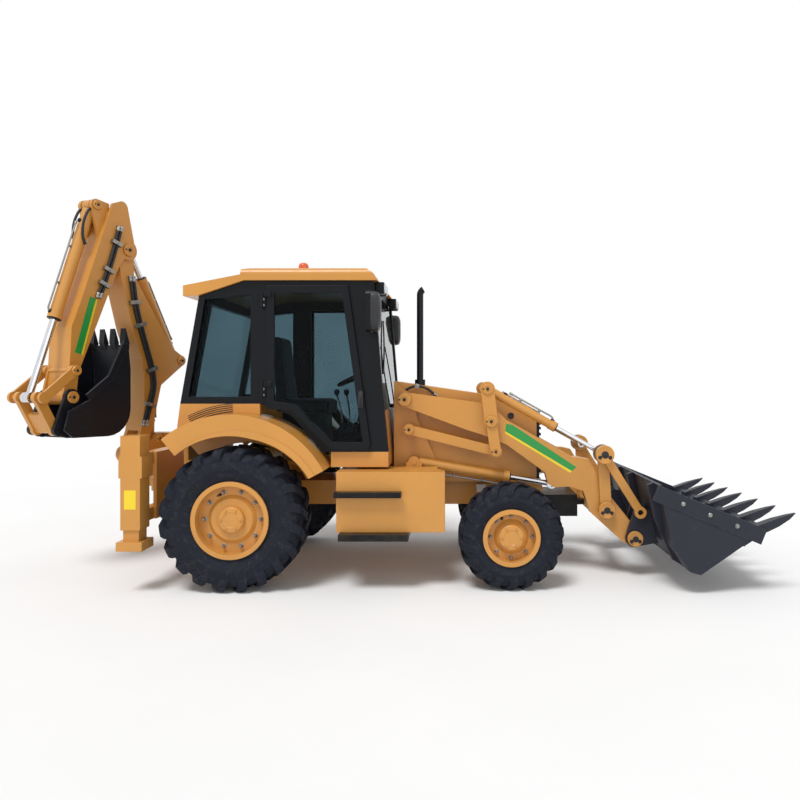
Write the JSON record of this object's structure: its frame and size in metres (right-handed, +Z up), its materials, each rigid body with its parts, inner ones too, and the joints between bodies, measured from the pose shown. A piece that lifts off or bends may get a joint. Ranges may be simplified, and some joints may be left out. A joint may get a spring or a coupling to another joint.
{
  "type": "backhoe loader",
  "caption": "Wheeled backhoe loader with closed cab, front loader bucket on self-levelling arms, rear sideshift backhoe and stabiliser legs.",
  "frame": {"origin": "on the ground at the middle of the parked machine's length and width", "axes": "+X forward to the loader bucket, +Y to the machine's left, +Z up"},
  "size_m": [6.7062, 2.316, 3.482],
  "materials": {
    "yellow_paint": "golden yellow machine enamel, semi gloss",
    "black_paint": "black enamel, satin",
    "slate_paint": "dark slate paint, satin",
    "dark_paint": "near black paint, satin",
    "dark_iron": "dark painted castings",
    "steel_pin": "greased steel pins",
    "chrome_rod": "polished chrome",
    "tyre_rubber": "black rubber",
    "tinted_glass": "blue-green tinted glass",
    "seat_fabric": "dark woven seat cover",
    "dark_plastic": "moulded dark plastic"
  },
  "bodies": {
    "root": {"chassis": "yellow_paint", "rear_frame": "yellow_paint", "axles": "dark_iron", "engine": "dark_iron", "hood": "yellow_paint", "grille": "black_paint", "exhaust": "black_paint", "cab_frame": "black_paint", "cab_roof": "yellow_paint", "cab_glass": "tinted_glass", "cab_base": "yellow_paint", "seat": "seat_fabric", "console": "dark_plastic", "fenders": "yellow_paint", "tank_boxes": "yellow_paint", "steps_and_bumper": "black_paint", "lamps_and_mirrors": "black_paint"},
    "rear_wheel_left": {"rear_tyre_left": "tyre_rubber", "rear_rim_left": "yellow_paint"},
    "front_wheel_left": {"front_tyre_left": "tyre_rubber", "front_rim_left": "yellow_paint"},
    "knuckle_left": {"knuckle_left": "dark_iron"},
    "door_left": {"door_frame_left": "black_paint", "door_glass_left": "tinted_glass"},
    "stabiliser_left": {"stabiliser_leg_left": "yellow_paint"},
    "rear_wheel_right": {"rear_tyre_right": "tyre_rubber", "rear_rim_right": "yellow_paint"},
    "front_wheel_right": {"front_tyre_right": "tyre_rubber", "front_rim_right": "yellow_paint"},
    "knuckle_right": {"knuckle_right": "dark_iron"},
    "door_right": {"door_frame_right": "black_paint", "door_glass_right": "tinted_glass"},
    "stabiliser_right": {"stabiliser_leg_right": "yellow_paint"},
    "loader_arm": {"loader_arm": "yellow_paint"},
    "rear_levers": {"rear_levers": "yellow_paint"},
    "lower_links": {"lower_links": "yellow_paint"},
    "lift_barrels": {"lift_barrels": "yellow_paint"},
    "lift_rods": {"lift_rods": "chrome_rod"},
    "tilt_barrels": {"tilt_barrels": "yellow_paint"},
    "tilt_rods": {"tilt_rods": "chrome_rod"},
    "lever_pins": {"lever_pins": "steel_pin"},
    "front_levers": {"front_levers": "yellow_paint"},
    "bucket_pins": {"bucket_pins": "steel_pin"},
    "loader_bucket": {"loader_bucket": "slate_paint"},
    "link_pins": {"link_pins": "steel_pin"},
    "bucket_links": {"bucket_links": "yellow_paint"},
    "carriage": {"carriage": "yellow_paint"},
    "kingpost": {"kingpost": "yellow_paint"},
    "boom": {"boom": "yellow_paint"},
    "dipper": {"dipper": "yellow_paint"},
    "hoe_bucket": {"hoe_bucket": "dark_paint"},
    "boom_barrel": {"boom_barrel": "yellow_paint"},
    "boom_rod": {"boom_rod": "chrome_rod"},
    "crowd_barrel": {"crowd_barrel": "yellow_paint"},
    "crowd_rod": {"crowd_rod": "chrome_rod"},
    "curl_barrel": {"curl_barrel": "yellow_paint"},
    "curl_rod": {"curl_rod": "chrome_rod"},
    "guide_links": {"guide_links": "yellow_paint"},
    "power_link": {"power_link": "yellow_paint"}
  },
  "joints": [
    {"name": "rear_wheel_left", "type": "hinge", "parent": "root", "child": "rear_wheel_left", "pos_m": [-1.275, 0.91, 0.595], "axis": [0, 1, 0], "continuous": true},
    {"name": "rear_wheel_right", "type": "hinge", "parent": "root", "child": "rear_wheel_right", "pos_m": [-1.275, -0.91, 0.595], "axis": [0, 1, 0], "continuous": true},
    {"name": "steer", "type": "hinge", "parent": "root", "child": "knuckle_left", "pos_m": [1.025, 0.69, 0.44], "axis": [0, 0, 1], "range_deg": [-35, 35]},
    {"name": "steer_right", "type": "hinge", "parent": "root", "child": "knuckle_right", "pos_m": [1.025, -0.69, 0.44], "axis": [0, 0, 1], "range_deg": [-35.2, 35.2]},
    {"name": "front_wheel_left", "type": "hinge", "parent": "knuckle_left", "child": "front_wheel_left", "pos_m": [1.025, 0.8975, 0.44], "axis": [0, 1, 0], "continuous": true},
    {"name": "door_left", "type": "hinge", "parent": "root", "child": "door_left", "pos_m": [-1.075, 0.875, 2], "axis": [0, 0, 1], "range_deg": [0, 80]},
    {"name": "front_wheel_right", "type": "hinge", "parent": "knuckle_right", "child": "front_wheel_right", "pos_m": [1.025, -0.8975, 0.44], "axis": [0, 1, 0], "continuous": true},
    {"name": "door_right", "type": "hinge", "parent": "root", "child": "door_right", "pos_m": [-1.075, -0.875, 2], "axis": [0, 0, -1], "range_deg": [0, 80]},
    {"name": "lift", "type": "hinge", "parent": "root", "child": "loader_arm", "pos_m": [0.111, 0, 1.571], "axis": [0, -1, 0], "range_deg": [-4, 80]},
    {"name": "rear_lever", "type": "hinge", "parent": "loader_arm", "child": "rear_levers", "pos_m": [0.875, 0, 1.38], "axis": [0, 1, 0], "range_deg": [-4.28, 81.8]},
    {"name": "lower_link", "type": "hinge", "parent": "root", "child": "lower_links", "pos_m": [0.151, 0, 1.306], "axis": [0, -1, 0], "range_deg": [-4.28, 81.8]},
    {"name": "lift_barrel", "type": "hinge", "parent": "root", "child": "lift_barrels", "pos_m": [0.194, 0, 1.015], "axis": [0, -1, 0], "range_deg": [-3.86, 73.47]},
    {"name": "lift_rod", "type": "slide", "parent": "lift_barrels", "child": "lift_rods", "axis": [0.9871, 0, -0.1602], "range_m": [-0.0384, 0.6923]},
    {"name": "tilt_barrel", "type": "hinge", "parent": "rear_levers", "child": "tilt_barrels", "pos_m": [0.843, 0, 1.665], "axis": [0, -1, 0], "range_deg": [-4.34, 82.92]},
    {"name": "tilt_rod", "type": "slide", "parent": "tilt_barrels", "child": "tilt_rods", "axis": [0.8722, 0, -0.4891], "range_m": [-0.0165, 0.3593]},
    {"name": "lever_pin", "type": "hinge", "parent": "loader_arm", "child": "lever_pins", "pos_m": [1.892, 0, 0.6], "axis": [0, 1, 0], "range_deg": [-2.44, 45.09]},
    {"name": "front_lever", "type": "hinge", "parent": "lever_pins", "child": "front_levers", "pos_m": [1.892, 0, 0.6], "axis": [0, 1, 0], "range_deg": [-1.83, 46.34]},
    {"name": "bucket_pin", "type": "hinge", "parent": "loader_arm", "child": "bucket_pins", "pos_m": [2.141, 0, 0.348], "axis": [0, 1, 0], "range_deg": [-3.71, 70.48]},
    {"name": "tilt", "type": "hinge", "parent": "bucket_pins", "child": "loader_bucket", "pos_m": [2.141, 0, 0.348], "axis": [0, 1, 0], "range_deg": [-3, 85]},
    {"name": "link_pin", "type": "hinge", "parent": "front_levers", "child": "link_pins", "pos_m": [1.863, 0, 1.093], "axis": [0, -1, 0], "range_deg": [-1.59, 27.92]},
    {"name": "bucket_link", "type": "hinge", "parent": "link_pins", "child": "bucket_links", "pos_m": [1.863, 0, 1.093], "axis": [0, -1, 0], "range_deg": [-0.86, 19]},
    {"name": "sideshift", "type": "slide", "parent": "root", "child": "carriage", "axis": [0, -1, 0], "range_m": [0, 1.244]},
    {"name": "swing", "type": "hinge", "parent": "carriage", "child": "kingpost", "pos_m": [-2.555, 0.622, 0.9], "axis": [0, 0, -1], "range_deg": [-25, 155]},
    {"name": "boom_lower", "type": "hinge", "parent": "kingpost", "child": "boom", "pos_m": [-2.69869, 0.31385, 1], "axis": [0.9063, -0.4226, 0], "range_deg": [0, 110]},
    {"name": "dipper_out", "type": "hinge", "parent": "boom", "child": "dipper", "pos_m": [-2.77476, 0.15072, 3.02], "axis": [-0.9063, 0.4226, 0], "range_deg": [0, 115]},
    {"name": "bucket_open", "type": "hinge", "parent": "dipper", "child": "hoe_bucket", "pos_m": [-3.04101, -0.42025, 1.59], "axis": [-0.9063, 0.4226, 0], "range_deg": [0, 130]},
    {"name": "boom_barrel", "type": "hinge", "parent": "kingpost", "child": "boom_barrel", "pos_m": [-2.61839, 0.48605, 1.15], "axis": [0.9063, -0.4226, 0], "range_deg": [-0.2, 107.94]},
    {"name": "boom_rod", "type": "slide", "parent": "boom_barrel", "child": "boom_rod", "axis": [0.0133, 0.0286, 0.9995], "range_m": [-0.004, 0.3911]},
    {"name": "crowd_barrel", "type": "hinge", "parent": "boom", "child": "crowd_barrel", "pos_m": [-2.47893, 0.78514, 1.96], "axis": [-0.9063, 0.4226, 0], "range_deg": [-0.2, 10.33]},
    {"name": "crowd_rod", "type": "slide", "parent": "crowd_barrel", "child": "crowd_rod", "axis": [-0.1971, -0.4228, 0.8845], "range_m": [-0.6518, 0.004]},
    {"name": "guide_link", "type": "hinge", "parent": "dipper", "child": "guide_links", "pos_m": [-3.03679, -0.41119, 1.83], "axis": [-0.9063, 0.4226, 0], "range_deg": [-0.2, 117.97]},
    {"name": "power_link", "type": "hinge", "parent": "guide_links", "child": "power_link", "pos_m": [-3.16146, -0.67855, 1.59], "axis": [-0.9063, 0.4226, 0], "range_deg": [-78.79, 0.2]},
    {"name": "curl_barrel", "type": "hinge", "parent": "dipper", "child": "curl_barrel", "pos_m": [-2.90577, -0.13023, 3.4], "axis": [-0.9063, 0.4226, 0], "range_deg": [-0.2, 1.53]},
    {"name": "curl_rod", "type": "slide", "parent": "curl_barrel", "child": "curl_rod", "axis": [-0.134, -0.2873, -0.9484], "range_m": [-0.6471, 0.004]},
    {"name": "stabiliser_left", "type": "slide", "parent": "root", "child": "stabiliser_left", "axis": [0, 0, -1], "range_m": [0, 0.5]},
    {"name": "stabiliser_right", "type": "slide", "parent": "root", "child": "stabiliser_right", "axis": [0, 0, -1], "range_m": [0, 0.5]}
  ],
  "couplings": [
    {"joint": "steer_right", "follows": "steer", "ratio": 1},
    {"joint": "rear_lever", "follows": "lift", "ratio": 1},
    {"joint": "lower_link", "follows": "lift", "ratio": 1},
    {"joint": "lift_barrel", "follows": "lift", "ratio": 0.89795},
    {"joint": "lift_rod", "follows": "lift", "m_per_rad": 0.49293},
    {"joint": "tilt_barrel", "follows": "lift", "ratio": 1.0137},
    {"joint": "tilt_rod", "follows": "tilt", "m_per_rad": 0.23951},
    {"joint": "lever_pin", "follows": "lift", "ratio": 0.5501},
    {"joint": "front_lever", "follows": "tilt", "ratio": 0.53218},
    {"joint": "bucket_pin", "follows": "lift", "ratio": 0.86126},
    {"joint": "link_pin", "follows": "lift", "ratio": 0.33966},
    {"joint": "bucket_link", "follows": "tilt", "ratio": 0.2169},
    {"joint": "boom_barrel", "follows": "boom_lower", "ratio": 0.96025},
    {"joint": "boom_rod", "follows": "boom_lower", "m_per_rad": 0.20165},
    {"joint": "crowd_barrel", "follows": "dipper_out", "ratio": 0.08632},
    {"joint": "crowd_rod", "follows": "dipper_out", "m_per_rad": -0.32274},
    {"joint": "guide_link", "follows": "bucket_open", "ratio": 0.88818},
    {"joint": "power_link", "follows": "bucket_open", "ratio": -0.59269},
    {"joint": "curl_barrel", "follows": "bucket_open", "ratio": 0.01},
    {"joint": "curl_rod", "follows": "bucket_open", "m_per_rad": -0.28345}
  ]
}
